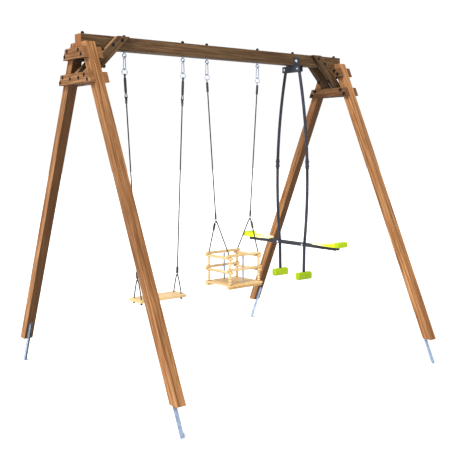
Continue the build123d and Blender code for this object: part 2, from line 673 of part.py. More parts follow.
def make_baby_swing():
    make_hooks("baby_swing", BABY_HOOKS)
    holes = column_holes()
    over_x, over_y = BABY_OVER
    x, half_x, half_y = BABY_X, BABY_HALF[0], BABY_HALF[1]

    battens = [
        rounded(
            block((x - over_x, x + over_x), (y - 14, y + 14), (BABY_LOW, BABY_LOW + BATTEN)),
            (1, 0, 0), 2.5,
        )
        for y in (-half_y, half_y)
    ]
    keep("baby_swing_base_battens", *[drill(batten, holes) for batten in battens])
    slats, slat_half, count = [], 20.0, 7
    for i in range(count):
        middle = x - half_x + 2 * half_x * i / (count - 1)
        across = (middle - slat_half, middle + slat_half)
        slat = block(across, (-over_y, over_y), (BABY_LOW + BATTEN, SLAT_TOP))
        slats.append(drill(rounded(slat, (0, 1, 0), 2.5), holes))
    keep("baby_swing_base_slats", *slats)
    sides = [
        drill(rail(False, x + side * half_x, low), holes)
        for low in (MID_RAIL_Z, TOP_RAIL_Z) for side in (-1, 1)
    ]
    keep("baby_swing_side_rails", *sides)
    mids = [drill(rail(True, y, CROSS_MID_Z), holes) for y in (-half_y, half_y)]
    keep("baby_swing_cross_rails", *mids, top_rail(1, 0, 0))
    divergence = (BABY_APEX_HALF - half_x) / (BABY_APEX_Z - CROSS_TOP_Z)
    keep("baby_swing_front_rail", top_rail(-1, FRONT_TRAVEL * divergence, FRONT_REST))
    keep("baby_swing_beads", *bead_columns())

    strap = (x - 9, x + 9)
    keep("baby_swing_crotch_strap", block(strap, (-119, -116), (SLAT_TOP + 0.5, CROSS_TOP_Z + FRONT_REST)))
    keep("baby_swing_back_strap", block(strap, (116, 119), (SLAT_TOP, CROSS_TOP_Z)))

    rings, sleeves, knots = [], [], []
    for side, name, hook in ((-1, "left", BABY_HOOKS[0]), (1, "right", BABY_HOOKS[1])):
        apex_x = x + side * BABY_APEX_HALF
        ring_z = BABY_APEX_Z - ROPE_R - SLACK - APEX_RING_WIRE + APEX_RING_R
        at = rope_axis(hook, apex_x, ring_z)
        rings += [hang_ring(hook), torus((apex_x, 0, ring_z), APEX_RING_R, APEX_RING_WIRE, (0, 1, 0))]
        bar_z = ring_centre_z() - RING_R + RING_WIRE + SLACK + THIMBLE_WIRE
        thimble_z = bar_z - THIMBLE_R
        rings.append(torus((hook, 0, thimble_z), THIMBLE_R, THIMBLE_WIRE, (1, 0, 0)))
        sleeve_top = thimble_z - THIMBLE_R - THIMBLE_WIRE - 0.6
        sleeve_low = GROUND + 1924.0
        crimp_low = ring_z + APEX_RING_R + APEX_RING_WIRE + 0.4
        crimp_high = crimp_low + 48.0
        sleeves.append(rod(at(sleeve_low), at(sleeve_top), 9.5))
        sleeves.append(rod(at(crimp_low), at(crimp_high), 8.0))
        rope(f"baby_swing_rope_{name}", [at(sleeve_low - 0.1), at(crimp_high + 0.1)], None)
        points = strand_points(side)
        rope(f"baby_swing_v_rope_{name}", points, [20.0, 11.0, 11.0, 20.0])
        top, foot = (points[3], points[4]) if side < 0 else (points[2], points[1])
        along = (Vector(*foot) - Vector(*top)).normalized()
        sleeves.append(tube(Vector(*top) + along * 22, Vector(*top) + along * 80, ROPE_R + 0.1, 9.5))
        for front in (-1, 1):
            knots.append(knot(x + side * half_x, front * half_y, BABY_KNOT_TOP, BABY_KNOT_R))
    keep("baby_swing_rings", *rings)
    keep("baby_swing_sleeves", *sleeves)
    keep("baby_swing_knots", *knots)


# ---- glider -------------------------------------------------------------------------
def hanger_fasteners():
    """The upright bolt of the hanger, its nut, two side screws, and all their holes."""
    face, low = BEAM_HALF_Y + HANGER_T, BEAM_LOW - HANGER_T - CHANNEL_WALL
    upright, nut, hole = through_bolt((GLIDER_X, 0, low), (0, 0, 1), BEAM_HIGH - low)
    bolts, holes = [upright], [hole]
    for front in (-1, 1):
        start = (GLIDER_X, front * face, HANGER_SCREW_Z)
        body, screw_hole = screw(start, (0, -front, 0), HANGER_SCREW)
        bolts.append(body)
        holes.append(screw_hole)
    return bolts, nut, holes


def arm_pivot_bolts():
    reach = ARM_R + ARM_SIDE_GAP + CHANNEL_WALL
    y, z = ARM_PIVOT
    return [
        cross_bolt((GLIDER_X - reach, front * y, z), (GLIDER_X + reach, front * y, z))
        for front in (-1, 1)
    ]


def glider_hanger():
    """A saddle on the beam, with the channel under it that holds both arms."""
    face, low = BEAM_HALF_Y + HANGER_T, BEAM_LOW - HANGER_T
    x = (GLIDER_X - HANGER_HALF, GLIDER_X + HANGER_HALF)
    steel = block(x, (-face, face), (low, BEAM_LOW))
    for front in (-1, 1):
        cheek = sorted((front * BEAM_HALF_Y, front * face))
        steel = steel + block(x, cheek, (low, HANGER_TOP))
    inside = ARM_R + ARM_SIDE_GAP
    outside = inside + CHANNEL_WALL
    channel = block(
        (GLIDER_X - outside, GLIDER_X + outside), (-CHANNEL_HALF_Y, CHANNEL_HALF_Y),
        (CHANNEL_LOW, low),
    )
    hollow = block(
        (GLIDER_X - inside, GLIDER_X + inside), (-CHANNEL_HALF_Y - 1, CHANNEL_HALF_Y + 1),
        (CHANNEL_LOW - 1, low - CHANNEL_WALL),
    )
    steel = steel + (channel - hollow)
    _, _, holes = hanger_fasteners()
    holes += [x_hole(front * ARM_PIVOT[0], ARM_PIVOT[1], HOLE_R) for front in (-1, 1)]
    return drill(steel, holes)


def x_hole(y, z, radius):
    """A bore along X through everything at the glider."""
    return rod((GLIDER_X - 60, y, z), (GLIDER_X + 60, y, z), radius)


def at_height(route, z):
    """The point of a falling route at a height, found by halving."""
    above, below = 0.0, 1.0
    for _ in range(30):
        middle = (above + below) / 2
        if (route @ middle).Z > z:
            above = middle
        else:
            below = middle
    return route @ above


def glider_arm(front, knee_hole_r):
    """A bowed tube from its pivot, past the seat beam, down to the footrest."""
    points = [(GLIDER_X, front * y, z) for y, z in (ARM_HEAD, ARM_BOW, ARM_KNEE, ARM_FOOT)]
    route = FilletPolyline(*points, radius=ARM_BENDS)
    arm = sweep(Plane(route @ 0, z_dir=route % 0) * Circle(ARM_R), route)
    arm = arm + rod(at_height(route, COUPLER[1]), at_height(route, COUPLER[0]), COUPLER_R)
    for z in COUPLER_BOLTS:
        y = at_height(route, z).Y
        arm = arm + rod((GLIDER_X - 19, y, z), (GLIDER_X + 19, y, z), 6.5)
    arm = arm - x_hole(front * ARM_PIVOT[0], ARM_PIVOT[1], PIVOT_HOLE_R)
    return arm - x_hole(front * ARM_KNEE[0], GLIDER_RAIL_Z, knee_hole_r)


def glider_seat(front):
    """A moulded seat: a tapering pan with a raised block at its outer end."""
    low = GLIDER_RAIL_Z + GLIDER_RAIL[1] / 2
    inner, outer = SEAT_Y
    shoulder, half = outer - 170.0, SEAT_HALF_X
    outline = [
        (-0.55 * half, inner), (0.55 * half, inner), (half, shoulder), (half, outer),
        (-half, outer), (-half, shoulder),
    ]
    outline = [(GLIDER_X + x, front * y) for x, y in outline]
    pan = extrude(Plane.XY.offset(low) * Polygon(*outline, align=None), 22.0, dir=(0, 0, 1))
    lip_y = sorted((front * (outer - 45), front * outer))
    return pan + block((GLIDER_X - half, GLIDER_X + half), lip_y, (low, low + 44))


def cross_bolt(start, end):
    """A bolt along X with a round head on each face."""
    start, end = Vector(*start), Vector(*end)
    head = Solid.make_cylinder(BOLT_R + 4.0, 5.0)
    body = rod(start, end, BOLT_R)
    return body + placed(head, start, (-1, 0, 0)) + placed(head, end, (1, 0, 0))


def under_bolt(x, y, low, length):
    """A small bolt from under a rail up into the seat, and the hole that it needs."""
    head = placed(Solid.make_cylinder(6.0, 6.0), (x, y, low), (0, 0, -1))
    hole = rod((x, y, low - 1), (x, y, low + length + 0.5), 3.2)
    return rod((x, y, low), (x, y, low + length), 3.0) + head, hole


def footrest(front):
    """A moulded foot peg under the arm's end."""
    length, depth, tall = FOOTREST
    y = front * ARM_FOOT[0]
    peg = block(
        (GLIDER_X - length / 2, GLIDER_X + length / 2), (y - depth / 2, y + depth / 2),
        (FOOTREST_TOP - tall, FOOTREST_TOP),
    )
    return fillet(peg.edges().filter_by(Axis.X), 12.0)


def make_glider():
    keep("glider_hanger", glider_hanger())
    keep("glider_hanger_bolts", *hanger_fasteners()[0], *arm_pivot_bolts())
    for front, name, knee_hole_r in ((-1, "front", PIVOT_HOLE_R), (1, "rear", LOOSE_HOLE_R)):
        keep(f"glider_arm_{name}", glider_arm(front, knee_hole_r))
        keep(f"glider_footrest_{name}", footrest(front))

    gauge, tall, half = GLIDER_RAIL
    rail_in = ARM_R + ARM_SIDE_GAP
    rail_out = rail_in + gauge
    low = GLIDER_RAIL_Z - tall / 2
    bolts, holes = [], []
    for front in (-1, 1):
        y = front * ARM_KNEE[0]
        bolts.append(cross_bolt((GLIDER_X - rail_out, y, GLIDER_RAIL_Z),
                                (GLIDER_X + rail_out, y, GLIDER_RAIL_Z)))
        holes.append(x_hole(y, GLIDER_RAIL_Z, HOLE_R))
        for along in SEAT_BOLTS_Y:
            for side in (-1, 1):
                x = GLIDER_X + side * (rail_in + rail_out) / 2
                bolt, hole = under_bolt(x, front * along, low, tall + 12.0)
                bolts.append(bolt)
                holes.append(hole)
    rails = []
    for side in (-1, 1):
        x = sorted((GLIDER_X + side * rail_in, GLIDER_X + side * rail_out))
        rails.append(rounded(block(x, (-half, half), (low, low + tall)), (0, 1, 0), 2.0))
    keep("glider_seat_beam", *[drill(bar, holes) for bar in rails])
    keep("glider_seats", *[drill(glider_seat(front), holes) for front in (-1, 1)])
    keep("glider_bolts", *bolts)


make_frame()
make_board_swing()
make_baby_swing()
make_glider()

os.makedirs("parts", exist_ok=True)
for node, shape in PARTS.items():
    export_step(shape, f"parts/{node}.step")
print(len(PARTS), "nodes")
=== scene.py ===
"""Looks of the timber swing set: materials, laid ropes, moulded seats, light and camera."""

import math

import bmesh
import bpy
from mathutils import Matrix, Vector


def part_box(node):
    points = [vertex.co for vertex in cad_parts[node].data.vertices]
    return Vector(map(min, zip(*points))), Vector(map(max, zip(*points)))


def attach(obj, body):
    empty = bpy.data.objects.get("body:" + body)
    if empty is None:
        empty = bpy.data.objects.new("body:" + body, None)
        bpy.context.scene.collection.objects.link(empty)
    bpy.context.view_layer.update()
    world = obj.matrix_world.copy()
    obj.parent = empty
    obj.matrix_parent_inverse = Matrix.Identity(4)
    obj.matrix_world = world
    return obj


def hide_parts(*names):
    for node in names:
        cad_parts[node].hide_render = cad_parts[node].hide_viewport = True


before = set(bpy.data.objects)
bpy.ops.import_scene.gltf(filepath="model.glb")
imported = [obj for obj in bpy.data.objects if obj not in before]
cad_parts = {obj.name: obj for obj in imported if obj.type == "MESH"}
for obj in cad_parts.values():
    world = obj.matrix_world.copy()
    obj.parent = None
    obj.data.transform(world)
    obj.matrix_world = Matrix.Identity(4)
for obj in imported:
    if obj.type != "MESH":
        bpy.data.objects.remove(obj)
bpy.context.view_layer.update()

# ---- places, in metres in the row frame ----------------------------------------------
GROUND = 0.190                     # leg bottoms
LEAN = math.radians(24.05)
RING_LOW = GROUND + 2.0126         # centre of each big ring's lower bar
ROPE_R = 0.005
ROPE_PITCH = 0.026                 # one turn of a strand

BOARD_X, BOARD_HOLE = -0.640, (0.175, 0.050)
BOARD_HOOKS = (-0.889, -0.391)
BOARD_LOW = GROUND + 0.402
BOARD_TOP = GROUND + 0.424
BOARD_APEX = GROUND + 0.566
BOARD_SLEEVE = (GROUND + 1.893, GROUND + 1.996)
BOARD_LOW_SLEEVE = (GROUND + 0.5713, GROUND + 0.622)
ADJUSTER = (GROUND + 1.813, GROUND + 1.864)

BABY_X = 0.081
BABY_HOOKS = (-0.169, 0.336)
COLUMN = (0.145, 0.134)            # rope columns from the seat's middle
BABY_LOW = GROUND + 0.418
BABY_KNOT_TOP = BABY_LOW + 0.010   # the knots sit in counterbores
CROSS_TOP = GROUND + 0.666
BABY_APEX_HALF, BABY_APEX = 0.1735, GROUND + 0.938
APEX_RING = GROUND + 0.9402
BABY_SLEEVE = (GROUND + 1.924, GROUND + 1.9978)
BABY_CRIMP = (GROUND + 0.9551, GROUND + 1.0031)
SLAT_TOP = GROUND + 0.452
MID_RAIL, MID_CROSS_TOP = GROUND + 0.536, GROUND + 0.576
TOP_RAIL = GROUND + 0.646

BOARD_SLEEVE_R, BABY_SLEEVE_R, BABY_CRIMP_R = 0.010, 0.0095, 0.008
EYE_ROPE_R, EYE_PITCH = 0.0038, 0.026      # the thin rope of the board swing's short loops
V_HALF = 0.009                             # half the width of a V rope's bend over its ring
BEAD_SPANS = ((SLAT_TOP, MID_RAIL, 4), (MID_CROSS_TOP, TOP_RAIL, 3))
STRAP_Y, STRAP_HALF, STRAP_T = 0.1175, 0.009, 0.0015

GLIDER_X = 0.720
SEAT_LOW = GROUND + 0.715
SEAT_Y = (0.255, 0.578)
PEG_Y, PEG_Z = 0.143, GROUND + 0.440       # middle of each foot peg
PEG_HALF = (0.075, 0.025, 0.032)

FLOOR_HALF = 40.0
TOWARDS_REAR = (0.627, 0.779, 0.0)
FRONT_LIGHT, REAR_LIGHT = 0.80, 1.02       # strength of the sky on each side
SUN_WAY, SUN_STRENGTH, SUN_SPREAD = (0.70, 0.29, -0.65), 5.0, math.radians(30.0)
CAMERA_PLACE = (-3.7223, -4.6370, 1.7079)
CAMERA_TURN = (38.815, -5.824, -0.344)     # yaw, pitch and roll, in degrees
LENS, LENS_SHIFT = 60.16, (0.0053, -0.0100)

DOWN = (0, 0, -1)
SIDES = ((-1, "left"), (1, "right"))
FRONTS = ((-1, "front"), (1, "rear"))


# ---- shader graphs --------------------------------------------------------------------
class Graph:
    """A material and a short way to add and join its nodes."""

    def __init__(self, name, **sockets):
        self.material = bpy.data.materials.new(name)
        self.material.use_nodes = True
        self.tree = self.material.node_tree
        self.shader = self.tree.nodes["Principled BSDF"]
        for socket, value in sockets.items():
            label = socket.replace("_", " ").title().replace("Ior", "IOR")
            self.shader.inputs[label].default_value = value
        self.coords = self.add("TexCoord")

    def add(self, kind, inputs=None, **settings):
        node = self.tree.nodes.new("ShaderNode" + kind)
        for key, value in settings.items():
            setattr(node, key, value)
        for key, value in (inputs or {}).items():
            self.put(node.inputs[key], value)
        return node

    def put(self, socket, value):
        if isinstance(value, bpy.types.NodeSocket):
            self.tree.links.new(value, socket)
        else:
            socket.default_value = value

    def math(self, operation, a, b=0.0, clamp=False):
        node = self.add("Math", {0: a, 1: b}, operation=operation, use_clamp=clamp)
        return node.outputs[0]

    def dot(self, output, axis):
        inputs = {0: self.coords.outputs[output], 1: tuple(axis)}
        return self.add("VectorMath", inputs, operation="DOT_PRODUCT").outputs["Value"]

    def along(self, axis):
        """Distance along a direction, scaled by the direction's length."""
        return self.dot("Object", axis)

    def facing(self, axis):
        """How far a surface faces along a direction."""
        return self.dot("Normal", axis)

    def scaled(self, axes):
        """Coordinates measured along three directions, each scaled by its length."""
        x, y, z = (self.along(axis) for axis in axes)
        return self.add("CombineXYZ", {0: x, 1: y, 2: z}).outputs[0]

    def noise(self, vector, scale, detail=4.0, rough=0.55):
        inputs = {"Vector": vector, "Scale": scale, "Detail": detail, "Roughness": rough}
        return self.add("TexNoise", inputs).outputs["Fac"]

    def ramp(self, factor, stops):
        node = self.add("ValToRGB", {0: factor})
        elements = node.color_ramp.elements
        while len(elements) < len(stops):
            elements.new(0.5)
        for element, (place, colour) in zip(elements, stops):
            element.position = place
            element.color = (*colour, 1.0) if len(colour) == 3 else colour
        return node.outputs[0]

    def grey(self, factor, low, high, start=0.0, end=1.0):
        """A number that runs from low to high while the factor runs from start to end."""
        node = self.add("MapRange", {0: factor, 1: start, 2: end, 3: low, 4: high})
        return node.outputs[0]

    def mix(self, factor, a, b, blend="MIX"):
        node = self.add("Mix", data_type="RGBA", blend_type=blend)
        self.put(node.inputs[0], factor)
        for socket, value in ((node.inputs[6], a), (node.inputs[7], b)):
            self.put(socket, (*value, 1.0) if isinstance(value, tuple) else value)
        return node.outputs[2]

    def finish(self, colour, roughness=None, height=None, strength=0.3, distance=0.001):
        self.put(self.shader.inputs["Base Color"], colour)
        if roughness is not None:
            self.put(self.shader.inputs["Roughness"], roughness)
        if height is not None:
            bump = self.add("Bump", {"Height": height, "Strength": strength, "Distance": distance})
            self.put(self.shader.inputs["Normal"], bump.outputs[0])
        return self.material


def grain_axes(grain):
    grain = Vector(grain).normalized()
    side = Vector((1, 0, 0)) if abs(grain.x) < 0.9 else Vector((0, 1, 0))
    across = grain.cross(side).normalized()
    return grain, across, grain.cross(across)


def wood(name, grain, seed, tones, ring=0.011, knot_size=0.12, rough=0.62, faces=()):
    """Sawn timber. The tones are latewood, body, pale streak, knot and end grain.

    Each of the faces is a direction and a tone painted on the faces that look that way; these tones
    are painted shade and painted light.
    """
    g = Graph(name, specular_ior_level=0.10)
    late, body, pale, knot, sawn_end = tones
    line, across, third = grain_axes(grain)
    start = g.math("ADD", g.along(line), seed)

    def stretch(k_line, k_cross):
        x = g.math("MULTIPLY", start, k_line)
        y, z = g.along(across * k_cross), g.along(third * k_cross)
        return g.add("CombineXYZ", {0: x, 1: y, 2: z}).outputs[0]

    voronoi = g.add("TexVoronoi", {"Vector": stretch(2.3, 8.0), "Scale": 1.0})
    near = voronoi.outputs["Distance"]
    halo = g.grey(near, 1.0, 0.0, 0.0, 0.35)
    wander = g.noise(stretch(1.6, 9.0), 1.0, 3.0)
    y = g.math("ADD", g.along(across), g.grey(wander, -0.030, 0.030))
    z = g.math("ADD", g.along(third), 0.045 + 0.01 * math.sin(seed))
    distance = g.add(
        "VectorMath", {0: g.add("CombineXYZ", {1: y, 2: z}).outputs[0]}, operation="LENGTH"
    ).outputs["Value"]
    distance = g.math("ADD", distance, g.math("MULTIPLY", halo, 0.016))
    turn = g.math("FRACT", g.math("DIVIDE", distance, ring))
    grown = [(0.0, (0, 0, 0)), (0.72, (0.75,) * 3), (0.90, (1, 1, 1)), (1.0, (0, 0, 0))]
    rings = g.ramp(turn, grown)
    streak = g.noise(stretch(3.0, 75.0), 1.0, 6.0, 0.62)
    fibre = g.noise(stretch(14.0, 620.0), 1.0, 3.0, 0.7)
    patch = g.noise(stretch(1.1, 6.0), 1.0, 2.0)

    colour = g.mix(g.grey(rings, 0.0, 0.85), body, late)
    colour = g.mix(g.grey(streak, 0.0, 0.90, 0.44, 0.68), colour, pale)
    colour = g.mix(g.grey(streak, 0.8, 0.0, 0.26, 0.46), colour, late)
    colour = g.mix(g.grey(patch, 0.0, 0.55, 0.40, 0.75), colour, late)
    colour = g.mix(g.grey(fibre, 0.45, 0.0, 0.30, 0.52), colour, knot)
    core = g.grey(near, 1.0, 0.0, knot_size * 0.55, knot_size)
    colour = g.mix(g.math("MULTIPLY", halo, 0.35), colour, late)
    colour = g.mix(core, colour, knot)
    # Painted shade and painted light: faces that look along each given direction take its tone,
    # broken by the streaks with latewood.
    for direction, tone in faces:
        side = g.facing(Vector(direction).normalized())
        colour = g.mix(g.grey(side, 0.0, 0.88, 0.35, 0.90), colour, g.mix(streak, tone, late))
    end = g.grey(g.math("ABSOLUTE", g.facing(line)), 0.0, 0.80, 0.80, 0.98)
    colour = g.mix(end, colour, sawn_end)
    height = g.math("ADD", fibre, g.math("MULTIPLY", rings, 0.5))
    height = g.math("SUBTRACT", height, core)
    return g.finish(colour, g.grey(streak, rough + 0.12, rough - 0.08), height, 0.35, 0.0009)


def metal(name, colour, dark, rough, metallic=1.0, scale=60.0, bump=0.12):
    """Metal with clouded tarnish, fine scratches and small pits."""
    g = Graph(name, metallic=metallic, specular_ior_level=0.05 + 0.25 * metallic)
    place = g.coords.outputs["Object"]
    cloud = g.noise(place, scale, 5.0, 0.6)
    scratch = g.noise(g.scaled(((900, 0, 0), (0, 900, 0), (0, 0, 60))), 1.0, 3.0, 0.7)
    shade = g.mix(g.grey(cloud, 0.0, 1.0, 0.35, 0.70), colour, dark)
    bright = tuple(min(1, 1.5 * level) for level in colour)
    shade = g.mix(g.grey(scratch, 0.0, 0.25, 0.55, 0.75), shade, bright)
    roughness = g.grey(cloud, rough - 0.08, rough + 0.14)
    return g.finish(shade, roughness, scratch, bump, 0.0003)


def galvanised(name):
    """Hot-dip zinc with its crystal spangle, with painted shade on the faces that look down: near
    black, less metallic and rougher there.
    """
    g = Graph(name, specular_ior_level=0.2)
    cells = g.add("TexVoronoi", {"Vector": g.coords.outputs["Object"], "Scale": 95.0})
    tone = g.add("SeparateColor", {0: cells.outputs["Color"]}).outputs[0]
    cloud = g.noise(g.coords.outputs["Object"], 14.0, 5.0)
    colour = g.mix(tone, (0.24, 0.31, 0.44), (0.40, 0.50, 0.68))
    colour = g.mix(g.grey(cloud, 0.0, 0.5, 0.5, 0.8), colour, (0.16, 0.20, 0.28))
    # Painted shade on the faces that look down: darkened, and made less metallic and rougher.
    downward_shade = g.grey(g.facing(DOWN), 0.0, 0.90, 0.10, 0.38)
    colour = g.mix(downward_shade, colour, g.mix(tone, (0.020, 0.019, 0.017), (0.040, 0.038, 0.034)))
    g.put(g.shader.inputs["Metallic"], g.math("SUBTRACT", 0.75, g.math("MULTIPLY", downward_shade, 0.75)))
    return g.finish(colour, g.grey(downward_shade, 0.38, 0.80), cloud, 0.15, 0.0005)


def fibres(name, dark, light, scale=1400.0, rough=0.85):
    """Spun fibre, for rope strands."""
    g = Graph(name, specular_ior_level=0.15, sheen_weight=0.08, sheen_roughness=0.5)
    place = g.coords.outputs["Object"]
    fine = g.noise(place, scale, 3.0, 0.7)
    fade = g.noise(place, 9.0, 3.0)
    colour = g.mix(g.grey(fine, 0.0, 1.0, 0.40, 0.75), dark, light)
    colour = g.mix(g.grey(fade, 0.0, 0.5, 0.45, 0.75), colour, light)
    return g.finish(colour, g.grey(fine, rough - 0.1, rough + 0.1), fine, 0.5, 0.0004)


def shrink_sleeve(name):
    """Matt black rubber sleeve, with a faint print of the rope in it."""
    g = Graph(name, specular_ior_level=0.4)
    place = g.coords.outputs["Object"]
    rope_print = {"Vector": place, "Scale": 55.0, "Distortion": 3.0}
    waves = g.add("TexWave", rope_print, bands_direction="Z")
    dust = g.noise(place, 160.0, 5.0, 0.65)
    colour = g.mix(g.grey(dust, 0.0, 1.0, 0.50, 0.80), (0.008, 0.008, 0.010), (0.05, 0.05, 0.055))
    height = g.math("ADD", waves.outputs["Fac"], g.math("MULTIPLY", dust, 0.6))
    return g.finish(colour, g.grey(dust, 0.42, 0.68), height, 0.3, 0.0006)


def webbing(name):
    """Flat woven strap: ribs across it, and yarns along it."""
    g = Graph(name, sheen_weight=0.3)
    place = g.coords.outputs["Object"]
    ribs = g.add("TexWave", {"Vector": place, "Scale": 130.0}, bands_direction="Z").outputs["Fac"]
    yarns = g.add("TexWave", {"Vector": place, "Scale": 190.0}, bands_direction="X").outputs["Fac"]
    weave = g.math("MULTIPLY", ribs, yarns)
    wear = g.noise(place, 60.0, 4.0)
    colour = g.mix(weave, (0.17, 0.21, 0.30), (0.50, 0.57, 0.70))
    colour = g.mix(g.grey(wear, 0.0, 0.5, 0.5, 0.8), colour, (0.62, 0.67, 0.76))
    return g.finish(colour, g.grey(wear, 0.70, 0.90), weave, 0.6, 0.0005)


def plastic(name, stops, span):
    """Moulded plastic, its colour changing along |y| over a span, with a fine mould texture."""
    g = Graph(name, specular_ior_level=0.14, coat_weight=0.03, coat_roughness=0.3)
    place = g.coords.outputs["Object"]
    reach = g.math("ABSOLUTE", g.along((0, 1, 0)))
    cloud = g.noise(place, 12.0, 3.0)
    pits = g.noise(place, 1500.0, 2.0, 0.6)
    scuff = g.noise(g.scaled(((300, 0, 0), (0, 40, 0), (0, 0, 300))), 1.0, 4.0, 0.7)
    share = g.math("ADD", g.grey(reach, 0.0, 1.0, *span), g.grey(cloud, -0.05, 0.05), clamp=True)
    colour = g.ramp(share, stops)
    colour = g.mix(g.grey(scuff, 0.0, 0.22, 0.60, 0.80), colour, (0.80, 0.85, 0.30))
    return g.finish(colour, g.grey(scuff, 0.32, 0.54), pits, 0.12, 0.0002)


def powder_coat(name):
    g = Graph(name, specular_ior_level=0.18)
    place = g.coords.outputs["Object"]
    peel = g.noise(place, 900.0, 2.0)
    cloud = g.noise(place, 7.0, 4.0)
    chips = g.add("TexVoronoi", {"Vector": place, "Scale": 120.0}).outputs["Distance"]
    colour = g.mix(g.grey(cloud, 0.0, 1.0, 0.35, 0.7), (0.012, 0.014, 0.021), (0.028, 0.032, 0.046))
    colour = g.mix(g.grey(chips, 0.5, 0.0, 0.02, 0.06), colour, (0.16, 0.17, 0.20))
    return g.finish(colour, g.grey(cloud, 0.30, 0.48), peel, 0.15, 0.0002)


STAINED = (
    (0.095, 0.038, 0.013), (0.275, 0.116, 0.040), (0.44, 0.235, 0.105), (0.026, 0.010, 0.004),
    (0.17, 0.070, 0.025),
)
CROSS = (
    (0.080, 0.033, 0.012), (0.210, 0.094, 0.035), (0.38, 0.205, 0.095), (0.024, 0.010, 0.004),
    (0.17, 0.070, 0.025),
)
# A darker copy of the crosspiece tones: painted shade for the right crosspieces.
CROSS_PAINTED_SHADE = tuple(tuple(0.6 * level for level in tone) for tone in CROSS)
# The first tone is painted shade for timber faces turned from the light; the second is painted
# light for faces turned to it.
SHADED, PAINTED_SUNLIT = (0.032, 0.019, 0.009), (0.46, 0.27, 0.135)
# A darker copy of the timber tones, for the beam and the braces: painted shade over all their
# faces.
DARK_PAINTED_SHADE = (
    (0.035, 0.019, 0.009), (0.108, 0.058, 0.026), (0.180, 0.106, 0.053), (0.014, 0.008, 0.004),
    (0.24, 0.095, 0.034),
)
PINE = (
    (0.42, 0.25, 0.09), (0.68, 0.49, 0.25), (0.80, 0.65, 0.41), (0.20, 0.09, 0.035),
    (0.60, 0.36, 0.14),
)
# Painted shade on the pine's faces that look down.
PINE_PAINTED_UNDERSHADE = [(DOWN, (0.22, 0.14, 0.055))]

PAINTED_CREAM_HIGHLIGHT, YELLOW, LIME, DEEP_LIME = (
    (0.90, 0.82, 0.44), (0.60, 0.68, 0.010), (0.28, 0.39, 0.001), (0.19, 0.29, 0.001)
)
# On the seats the cream towards the inner ends is a painted highlight and the darker lime at the
# outer ends is painted shade; the yellow between is the plastic's own colour.
SEATS_LIME = plastic(
    "seat_lime", [(0.0, PAINTED_CREAM_HIGHLIGHT), (0.28, PAINTED_CREAM_HIGHLIGHT), (0.50, YELLOW), (0.76, YELLOW), (0.84, LIME)],
    (0.28, 0.60),
)
PEGS_LIME = plastic("footrest_lime", [(0.0, LIME), (1.0, DEEP_LIME)], (0.11, 0.17))
ROPE = fibres("rope_fibre", (0.005, 0.005, 0.006), (0.030, 0.030, 0.036))
SLEEVE = shrink_sleeve("sleeve_rubber")
STRAP = webbing("strap_weave")
COAT = powder_coat("powder_coat_black")
ZINC = metal("zinc_plate", (0.52, 0.57, 0.68), (0.24, 0.27, 0.34), 0.30)
BRIGHT = metal("bright_zinc", (0.80, 0.80, 0.82), (0.45, 0.45, 0.48), 0.24)
BLACK = metal("black_fastener", (0.014, 0.012, 0.011), (0.005, 0.005, 0.005), 0.45, 0.0)
GALVANISED = galvanised("galvanised_zinc")


def paint(node, material):
    """Give a CAD node its material."""
    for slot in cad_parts[node].material_slots:
        slot.material = material


def paint_timber():
    # The beam takes the darker copy of the timber tones as painted shade, and painted shade on its
    # underside.
    paint("top_beam", wood("beam_wood", (1, 0, 0), 1.7, DARK_PAINTED_SHADE, faces=[(DOWN, SHADED)]))
    for side, side_name in SIDES:
        for level in ("upper", "lower"):
            name = f"{level}_crosspieces_{side_name}"
            seed = 3.1 + side + (0.37 if level == "upper" else 0.0)
            # The right crosspieces take a darker copy of the tones as painted shade; all take
            # painted shade on their undersides.
            tones = CROSS if side < 0 else CROSS_PAINTED_SHADE
            paint(name, wood(name + "_wood", (0, 1, 0), seed, tones, faces=[(DOWN, SHADED)]))
        for front, front_name in FRONTS:
            where = f"{front_name}_{side_name}"
            seed = 5.3 + 2.1 * side + 0.77 * front
            up = (0, -front * math.sin(LEAN), math.cos(LEAN))
            # Painted shade on each leg's inner face, the face that looks in under the frame and
            # down.
            faces = [((0, -front * math.cos(LEAN), -math.sin(LEAN)), SHADED)]
            post = wood(f"leg_{where}_wood", up, seed, STAINED, faces=faces)
            paint(f"leg_{where}", post)
            # Braces take the darker copy of the timber tones as painted shade, painted light on the
            # faces that look up and out, and painted shade on those that look down.
            slope, above, below = (1, 0, -side), (side, 0, 1), (-side, 0, -1)
            faces = [(above, PAINTED_SUNLIT), (below, SHADED)]
            plank = wood(f"brace_{where}_wood", slope, seed + 1.3, DARK_PAINTED_SHADE, faces=faces)
            paint(f"brace_{where}", plank)


def paint_nodes():
    paint_timber()
    # Both pine finishes carry painted shade on their faces that look down.
    pine_x = wood("pine_across", (1, 0, 0), 2.2, PINE, 0.006, 0.05, 0.42, PINE_PAINTED_UNDERSHADE)
    pine_y = wood("pine_along", (0, 1, 0), 4.9, PINE, 0.006, 0.05, 0.42, PINE_PAINTED_UNDERSHADE)
    finishes = {
        "board_swing_seat": pine_x, "baby_swing_base_battens": pine_x,
        "baby_swing_cross_rails": pine_x, "baby_swing_front_rail": pine_x,
        "baby_swing_base_slats": pine_y, "baby_swing_side_rails": pine_y,
        "frame_bolts": BLACK, "frame_cap_nuts": BLACK, "clamp_plates": BLACK,
        "eye_bolts": ZINC, "glider_bolts": BRIGHT, "glider_hanger_bolts": BRIGHT,
        "board_swing_adjusters": SLEEVE,
    }
    for swing in ("board_swing", "baby_swing"):
        for item in ("carabiners", "rings", "gate_left", "gate_right"):
            finishes[f"{swing}_{item}"] = ZINC
    for _, side in SIDES:
        finishes[f"ground_anchors_{side}"] = GALVANISED
    for item in ("hanger", "arm_front", "arm_rear", "seat_beam"):
        finishes[f"glider_{item}"] = COAT
    for node, material in finishes.items():
        paint(node, material)


